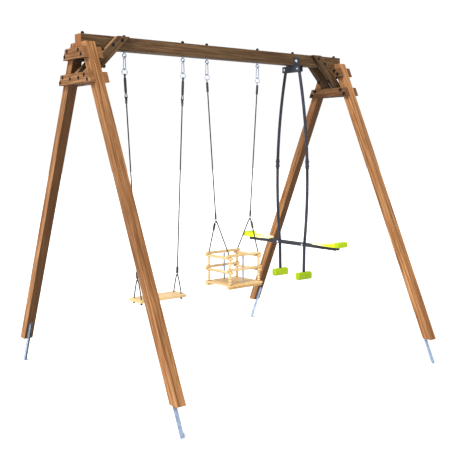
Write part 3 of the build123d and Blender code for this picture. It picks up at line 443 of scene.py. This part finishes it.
# ---- meshes ---------------------------------------------------------------------------
class Shape:
    """Vertices and faces gathered from several rings, then made into one piece."""

    def __init__(self):
        self.points, self.faces = [], []

    def loft(self, rings, caps=True, closed=False):
        """Skin a row of rings that have the same number of points."""
        base, count = len(self.points), len(rings[0])
        for ring in rings:
            self.points += [tuple(point) for point in ring]
        spans = len(rings) if closed else len(rings) - 1
        for row in range(spans):
            low, high = base + row * count, base + ((row + 1) % len(rings)) * count
            for i in range(count):
                j = (i + 1) % count
                self.faces.append((low + i, low + j, high + j, high + i))
        if caps and not closed:
            self.faces.append(tuple(base + i for i in reversed(range(count))))
            last = base + (len(rings) - 1) * count
            self.faces.append(tuple(last + i for i in range(count)))

    def piece(self, name, material, body, slot, nodes=(), subdivide=0):
        mesh = bpy.data.meshes.new(name)
        mesh.from_pydata(self.points, [], self.faces)
        work = bmesh.new()
        work.from_mesh(mesh)
        bmesh.ops.recalc_face_normals(work, faces=work.faces)
        work.to_mesh(mesh)
        work.free()
        mesh.materials.append(material)
        for face in mesh.polygons:
            face.use_smooth = True
        piece = bpy.data.objects.new(name, mesh)
        bpy.context.scene.collection.objects.link(piece)
        if subdivide:
            modifier = piece.modifiers.new("subdivision", "SUBSURF")
            modifier.levels = modifier.render_levels = subdivide
        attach(piece, body)
        if nodes:
            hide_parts(*nodes)
        return piece


def circle(centre, normal, across, radius, sides):
    other = normal.cross(across)
    return [
        centre + (across * math.cos(a) + other * math.sin(a)) * radius
        for a in (2 * math.pi * i / sides for i in range(sides))
    ]


def travelling_frames(points):
    """Tangent and a steady cross direction at each point of a line."""
    frames, across = [], None
    for i, point in enumerate(points):
        ahead, behind = points[min(i + 1, len(points) - 1)], points[max(i - 1, 0)]
        tangent = (ahead - behind).normalized()
        if across is None:
            across = tangent.orthogonal().normalized()
        across = (across - tangent * across.dot(tangent)).normalized()
        frames.append((point, tangent, across))
    return frames


def nurbs_points(route):
    """Points read from the smooth curve that a route's control points make."""
    curve = bpy.data.curves.new("route", "CURVE")
    curve.dimensions = "3D"
    spline = curve.splines.new("NURBS")
    spline.points.add(len(route) - 1)
    for point, place in zip(spline.points, route):
        point.co = (*place, 1.0)
    spline.order_u = 3
    spline.use_endpoint_u = True
    spline.resolution_u = 40
    holder = bpy.data.objects.new("route", curve)
    mesh = bpy.data.meshes.new_from_object(holder)
    points = [vertex.co.copy() for vertex in mesh.vertices]
    bpy.data.objects.remove(holder)
    bpy.data.curves.remove(curve)
    bpy.data.meshes.remove(mesh)
    return points


def even(points, step):
    """The same line, read at even steps."""
    lengths = [0.0]
    for a, b in zip(points, points[1:]):
        lengths.append(lengths[-1] + (b - a).length)
    count = max(2, round(lengths[-1] / step))
    out, i = [], 0
    for k in range(count + 1):
        target = lengths[-1] * k / count
        while i < len(points) - 2 and lengths[i + 1] < target:
            i += 1
        share = (target - lengths[i]) / max(lengths[i + 1] - lengths[i], 1e-9)
        out.append(points[i].lerp(points[i + 1], share))
    return out


def lay_strands(shape, points, radius, pitch, sides=7, strands=3):
    """Twist strands round a line."""
    offset, strand_r = radius * 0.48, radius * 0.54
    line = travelling_frames(even(points, pitch / 8))
    for k in range(strands):
        centres, done, last = [], 0.0, line[0][0]
        for point, tangent, across in line:
            done += (point - last).length
            last = point
            angle = 2 * math.pi * (done / pitch + k / strands)
            other = tangent.cross(across)
            centres.append(point + (across * math.cos(angle) + other * math.sin(angle)) * offset)
        shape.loft([
            circle(centre, tangent, across, strand_r, sides)
            for centre, tangent, across in travelling_frames(centres)
        ])


def rope(node, route, body):
    """A taut three-strand rope in place of its CAD bar."""
    route = [Vector(point) for point in route]
    path = nurbs_points(route)
    shape = Shape()
    lay_strands(shape, path, ROPE_R, ROPE_PITCH)
    piece = shape.piece(f"laid_{node}", ROPE, body, "rope", [node])
    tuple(route[0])
    [tuple(p) for p in even(path, 0.01)]


def taut_line(hook_x, low_x, low_z):
    """Function giving the point of a hanging rope at a height."""
    def at(z):
        share = (z - low_z) / (RING_LOW - low_z)
        return Vector((low_x + (hook_x - low_x) * share, 0, z))
    return at


def turned(shape, start, end, profile, sides=28):
    """A turned form from start to end; the profile is (share of length, radius) pairs."""
    start, end = Vector(start), Vector(end)
    axis = (end - start).normalized()
    across = axis.orthogonal().normalized()
    shape.loft([
        circle(start.lerp(end, share), axis, across, radius, sides) for share, radius in profile
    ])


def sleeve(shape, start, end, radius):
    """A shrunk sleeve: rounded ends and a soft wave over the rope's strands."""
    steps = 26
    profile = [(0.0, radius * 0.70), (0.012, radius * 0.90)]
    for i in range(1, steps):
        share = i / steps
        wave = 0.035 * math.sin(share * steps * 1.25)
        ends = 0.10 * (abs(2 * share - 1) ** 6)
        profile.append((share, radius * (0.965 + wave - ends)))
    profile += [(0.988, radius * 0.90), (1.0, radius * 0.70)]
    turned(shape, start, end, profile)


def rope_knot(shape, x, y, top, radius=0.011):
    """An overhand knot drawn up tight under the wood."""
    tube, steps = radius * 0.38, 72
    points = []
    for i in range(steps):
        t = 2 * math.pi * i / steps
        points.append(Vector((
            (math.sin(t) + 2 * math.sin(2 * t)) / 3 * (radius - tube),
            (math.cos(t) - 2 * math.cos(2 * t)) / 3 * (radius - tube),
            -math.sin(3 * t) * tube,
        )))
    centre = Vector((x, y, top - 0.8 * radius))
    rings = []
    for i, point in enumerate(points):
        tangent = (points[(i + 1) % steps] - points[i - 1]).normalized()
        across = tangent.cross(Vector((0, 0, 1))).normalized()
        rings.append(circle(centre + point, tangent, across, tube, 10))
    shape.loft(rings, closed=True)
    tail = [(0, tube), (0.9, tube * 1.1), (1, tube * 0.7)]
    turned(shape, centre, centre - Vector((0, 0, 0.95 * radius)), tail, 12)


# ---- board swing ----------------------------------------------------------------------
def dress_board_swing():
    sleeves, loops, knots = Shape(), Shape(), Shape()
    for side, name in SIDES:
        hook = BOARD_HOOKS[0 if side < 0 else 1]
        x, y = BOARD_X + side * BOARD_HOLE[0], BOARD_HOLE[1]
        at = taut_line(hook, x, BOARD_APEX)
        top, low = at(ADJUSTER[0] - 0.0003), at(BOARD_LOW_SLEEVE[1] + 0.0001)
        rope(f"board_swing_rope_{name}", [top, at(top.z - 0.06), low], "board_swing")
        route = [
            (x, -y, BOARD_LOW), (x, -y, BOARD_TOP + 0.004), (x, -V_HALF, BOARD_APEX),
            (x, V_HALF, BOARD_APEX), (x, y, BOARD_TOP + 0.004), (x, y, BOARD_LOW),
        ]
        rope(f"board_swing_v_rope_{name}", route, "board_swing")
        for sleeve_low, sleeve_high in (BOARD_SLEEVE, BOARD_LOW_SLEEVE):
            sleeve(sleeves, at(sleeve_low), at(sleeve_high), BOARD_SLEEVE_R)
        eye_loop(loops, at)
        tail_loop(loops, at)
        for place in (-y, y):
            rope_knot(knots, x, place, BOARD_LOW)
    sleeves.piece(
        "board_sleeve_shells", SLEEVE, "board_swing", "rope_sleeve", ["board_swing_sleeves"]
    )
    loops.piece("board_rope_loops", ROPE, "board_swing", "rope", ["board_swing_loops"])
    knots.piece("board_seat_knots", ROPE, "board_swing", "rope", ["board_swing_knots"])


def eye_loop(shape, at):
    """The rope's eye over the lower bar of its ring."""
    bend = 0.0078
    top = at(RING_LOW)
    foot = at(BOARD_SLEEVE[1])
    line = [
        foot + Vector((0, -0.004, 0)), top + Vector((0, -bend, -0.004)),
        top + Vector((0, -bend, bend)), top + Vector((0, bend, bend)),
        top + Vector((0, bend, -0.004)), foot + Vector((0, 0.004, 0)),
    ]
    lay_strands(shape, nurbs_points(line), EYE_ROPE_R, EYE_PITCH)


def tail_loop(shape, at):
    """The open loop between the upper sleeve and the adjuster."""
    top, low = at(BOARD_SLEEVE[0]), at(ADJUSTER[1] - 0.013)
    half = 0.009
    line = [
        top + Vector((-0.004, 0, 0)), low + Vector((-half, 0, 0.016)), low + Vector((-half, 0, 0)),
        low + Vector((half, 0, 0)), low + Vector((half, 0, 0.016)), top + Vector((0.004, 0, 0)),
    ]
    lay_strands(shape, nurbs_points(line), EYE_ROPE_R, EYE_PITCH)


# ---- baby swing -----------------------------------------------------------------------
def baby_route(side):
    """The V rope's control points, with one on each side of every long run's bend."""
    column, apex = BABY_X + side * COLUMN[0], BABY_X + side * BABY_APEX_HALF
    y = COLUMN[1]
    bend, top = Vector((column, -y, CROSS_TOP)), Vector((apex, -V_HALF, BABY_APEX))
    run = (top - bend).normalized()
    front = [
        Vector((column, -y, BABY_KNOT_TOP)), bend - Vector((0, 0, 0.04)), bend,
        bend + run * 0.04, top - run * 0.06, top,
    ]
    rear = [Vector((point.x, -point.y, point.z)) for point in reversed(front)]
    return front + rear


def dress_baby_swing():
    sleeves, knots = Shape(), Shape()
    for side, name in SIDES:
        hook = BABY_HOOKS[0 if side < 0 else 1]
        apex_x = BABY_X + side * BABY_APEX_HALF
        at = taut_line(hook, apex_x, APEX_RING)
        top, low = at(BABY_SLEEVE[0] - 0.0001), at(BABY_CRIMP[1] + 0.0001)
        rope(f"baby_swing_rope_{name}", [top, at(top.z - 0.06), low], "baby_swing")
        route = baby_route(side)
        rope(f"baby_swing_v_rope_{name}", route, "baby_swing")
        sleeve(sleeves, at(BABY_SLEEVE[0]), at(BABY_SLEEVE[1]), BABY_SLEEVE_R)
        sleeve(sleeves, at(BABY_CRIMP[0]), at(BABY_CRIMP[1]), BABY_CRIMP_R)
        start, foot = (route[6], route[9]) if side < 0 else (route[5], route[2])
        way = (foot - start).normalized()
        sleeve(sleeves, start + way * 0.022, start + way * 0.080, BABY_SLEEVE_R)
        for front in (-1, 1):
            rope_knot(knots, BABY_X + side * COLUMN[0], front * COLUMN[1], BABY_KNOT_TOP, 0.008)
    sleeves.piece("baby_sleeve_shells", SLEEVE, "baby_swing", "rope_sleeve", ["baby_swing_sleeves"])
    knots.piece("baby_seat_knots", ROPE, "baby_swing", "rope", ["baby_swing_knots"])
    turn_beads()
    weave_strap("crotch_strap", -STRAP_Y, SLAT_TOP + 0.0005, "baby_front_bar")
    weave_strap("back_strap", STRAP_Y, SLAT_TOP, "baby_swing")


def turn_beads():
    """The turned wooden beads on the four rope columns."""
    beads = Shape()
    profile = [
        (0.0, 0.0058), (0.0, 0.0062), (0.02, 0.0066), (0.06, 0.0080), (0.15, 0.0101),
        (0.30, 0.0119), (0.50, 0.0125), (0.70, 0.0119), (0.85, 0.0101), (0.94, 0.0080),
        (0.98, 0.0066), (1.0, 0.0062), (1.0, 0.0058),
    ]
    for low, high, count in BEAD_SPANS:
        pitch = (high - low) / count
        for side, _ in SIDES:
            for front, _ in FRONTS:
                x, y = BABY_X + side * COLUMN[0], front * COLUMN[1]
                for i in range(count):
                    base = low + i * pitch
                    turned(beads, (x, y, base), (x, y, base + pitch), profile, 24)
    # The beads' pine carries painted shade on its faces that look down.
    pine = wood("pine_beads", (0, 0, 1), 6.4, PINE, 0.005, 0.02, 0.40, PINE_PAINTED_UNDERSHADE)
    beads.piece("turned_beads", pine, "baby_swing", "pale_pine", ["baby_swing_beads"])


def weave_strap(name, y, low, body):
    """A flat strap with rolled edges, thicker where it folds over its ends."""
    node = f"baby_swing_{name}"
    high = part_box(node)[1].z
    edge, roll = STRAP_HALF, STRAP_HALF * 0.93
    outline = [
        (-edge, 0), (-roll, 1), (0, 0.82), (roll, 1), (edge, 0), (roll, -1), (0, -0.82), (-roll, -1)
    ]
    rings, steps = [], 22
    for i in range(steps + 1):
        share = i / steps
        z = low + (high - low) * share
        fold = 1.0 if share < 0.10 or share > 0.90 else 0.62
        bow = math.copysign(0.00024 * math.sin(share * math.pi), y)
        rings.append([
            Vector((BABY_X + x, y - bow + out * STRAP_T * fold, z)) for x, out in outline
        ])
    shape = Shape()
    shape.loft(rings)
    shape.piece(f"{name}_weave", STRAP, body, "webbing", [node], subdivide=1)


# ---- glider ---------------------------------------------------------------------------
def moulded_seat(shape, front):
    """A dished seat, narrow by the arms, with a raised grip across its outer end."""
    inner, outer = SEAT_Y
    stations = [
        (0.000, 0.020, 0.018), (0.004, 0.028, 0.022), (0.030, 0.033, 0.022), (0.080, 0.044, 0.021),
        (0.130, 0.054, 0.020), (0.170, 0.056, 0.020), (0.240, 0.056, 0.020), (0.270, 0.056, 0.022),
        (0.279, 0.056, 0.041), (0.285, 0.056, 0.044), (0.314, 0.056, 0.044), (0.320, 0.055, 0.041),
        (0.323, 0.053, 0.034),
    ]
    rings = []
    for reach, half, tall in stations:
        y = front * (inner + reach)
        dish = 0.005 if 0.02 < reach < 0.265 else 0.0
        low = 0.0 if 0.0 < reach < 0.323 else 0.004
        outline = [
            (-0.92, low), (-1.0, low + 0.004), (-1.0, tall - 0.004), (-0.92, tall),
            (-0.45, tall - dish), (0, tall - dish * 1.2), (0.45, tall - dish), (0.92, tall),
            (1.0, tall - 0.004), (1.0, low + 0.004), (0.92, low), (0, low),
        ]
        rings.append([Vector((GLIDER_X + x * half, y, SEAT_LOW + z)) for x, z in outline])
    shape.loft(rings)


def foot_peg(shape, front):
    """A foot peg with grip grooves round it, on the end of its arm."""
    half_x, half_y, half_z = PEG_HALF
    middle = Vector((GLIDER_X, front * PEG_Y, PEG_Z))
    stations = [(-1.0, 0.70), (-0.985, 0.90), (-0.95, 1.0), (-0.80, 1.0)]
    for place in (-0.70, -0.50, -0.30):
        groove = ((-0.035, 1.0), (-0.02, 0.93), (0.02, 0.93), (0.035, 1.0))
        stations += [(place + offset, size) for offset, size in groove]
    stations += [(-0.18, 1.0), (0.18, 1.0)]
    stations += [(-share, size) for share, size in reversed(stations[:-2])]
    rings, sides = [], 16
    for share, size in stations:
        outline = []
        for i in range(sides):
            a = 2 * math.pi * (i + 0.5) / sides
            y = math.copysign(abs(math.cos(a)) ** 0.45, math.cos(a)) * half_y * size
            z = math.copysign(abs(math.sin(a)) ** 0.45, math.sin(a)) * half_z * size
            outline.append(middle + Vector((share * half_x, y, z)))
        rings.append(outline)
    shape.loft(rings)


def dress_glider():
    seats = Shape()
    for front, name in FRONTS:
        moulded_seat(seats, front)
        peg = Shape()
        foot_peg(peg, front)
        peg.piece(f"foot_peg_{name}", PEGS_LIME, f"glider_{name}_arm", "lime_plastic",
                  [f"glider_footrest_{name}"], subdivide=1)
    seats.piece(
        "moulded_seats", SEATS_LIME, "glider_seat", "lime_plastic", ["glider_seats"], subdivide=2
    )


# ---- stage ----------------------------------------------------------------------------
def add_floor():
    mesh = bpy.data.meshes.new("floor")
    corners = [(-1, -1), (1, -1), (1, 1), (-1, 1)]
    mesh.from_pydata([(x * FLOOR_HALF, y * FLOOR_HALF, 0) for x, y in corners], [], [(0, 1, 2, 3)])
    g = Graph("floor_paper", specular_ior_level=0.1)
    tone = g.noise(g.coords.outputs["Object"], 0.4, 2.0)
    colour = g.mix(tone, (0.86, 0.86, 0.86), (0.89, 0.89, 0.89))
    mesh.materials.append(g.finish(colour, g.grey(tone, 0.9, 1.0)))
    floor = bpy.data.objects.new("floor", mesh)
    bpy.context.scene.collection.objects.link(floor)


def add_lights():
    """A white sky, a little dimmer in front, and one soft sun from the left front."""
    world = bpy.data.worlds.new("studio")
    world.use_nodes = True
    tree = world.node_tree
    direction = tree.nodes.new("ShaderNodeTexCoord").outputs["Generated"]
    facing = tree.nodes.new("ShaderNodeVectorMath")
    facing.operation = "DOT_PRODUCT"
    facing.inputs[1].default_value = TOWARDS_REAR
    strength = tree.nodes.new("ShaderNodeMapRange")
    for index, value in ((1, -0.4), (2, 0.3), (3, FRONT_LIGHT), (4, REAR_LIGHT)):
        strength.inputs[index].default_value = value
    tree.links.new(direction, facing.inputs[0])
    tree.links.new(facing.outputs["Value"], strength.inputs[0])
    tree.links.new(strength.outputs[0], tree.nodes["Background"].inputs["Strength"])
    tree.nodes["Background"].inputs["Color"].default_value = (1.0, 1.0, 1.0, 1.0)
    bpy.context.scene.world = world
    sun = bpy.data.lights.new("key", "SUN")
    sun.energy = SUN_STRENGTH
    sun.angle = SUN_SPREAD
    sun.color = (1.0, 0.985, 0.96)
    key = bpy.data.objects.new("key", sun)
    key.rotation_euler = Vector(SUN_WAY).to_track_quat("-Z", "Y").to_euler()
    bpy.context.scene.collection.objects.link(key)


def add_camera():
    """The view of the set from its front left, a little under beam height."""
    yaw, pitch, roll = (math.radians(angle) for angle in CAMERA_TURN)
    ahead = Vector((
        math.sin(yaw) * math.cos(pitch), math.cos(yaw) * math.cos(pitch), math.sin(pitch)
    ))
    level = Vector((math.cos(yaw), -math.sin(yaw), 0))
    upright = level.cross(ahead)
    right = level * math.cos(roll) + upright * math.sin(roll)
    up = upright * math.cos(roll) - level * math.sin(roll)
    data = bpy.data.cameras.new("camera")
    data.lens = LENS
    data.sensor_width = 36.0
    data.shift_x, data.shift_y = LENS_SHIFT
    camera = bpy.data.objects.new("camera", data)
    x, y, z = CAMERA_PLACE
    camera.matrix_world = Matrix((
        (right.x, up.x, -ahead.x, x), (right.y, up.y, -ahead.y, y),
        (right.z, up.z, -ahead.z, z), (0, 0, 0, 1),
    ))
    bpy.context.scene.collection.objects.link(camera)
    bpy.context.scene.camera = camera


paint_nodes()
dress_board_swing()
dress_baby_swing()
dress_glider()
add_floor()
add_lights()
add_camera()
bpy.context.scene.view_settings.view_transform = "Standard"
